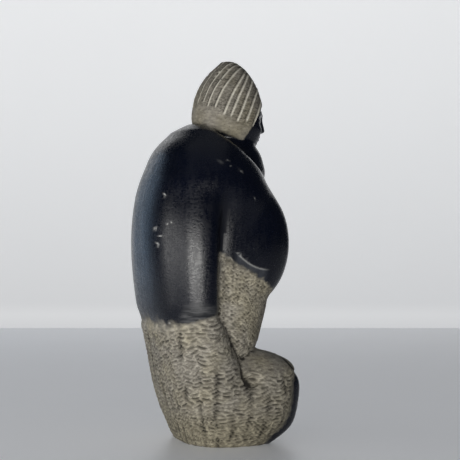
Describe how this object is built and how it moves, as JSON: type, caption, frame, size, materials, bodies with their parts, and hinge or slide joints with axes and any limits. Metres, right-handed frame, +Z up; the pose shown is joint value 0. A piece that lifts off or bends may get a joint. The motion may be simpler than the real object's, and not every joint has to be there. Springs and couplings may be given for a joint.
{
  "type": "stone seated figure",
  "caption": "Small seated figure carved from one block of dark stone, head bowed, shoulders, arms and shins polished, hair grooved and dress left rough, standing on its own flat foot",
  "frame": {"origin": "middle of the figure's overall width and depth, on the plane of its flat foot", "axes": "+Z up; the figure faces -Y; its right side is towards -X"},
  "size_m": [0.115, 0.1028, 0.25],
  "materials": {
    "stone": "polished, with the hair and the dress left rough"
  },
  "bodies": {
    "root": {"seated_figure": "stone"}
  },
  "joints": []
}
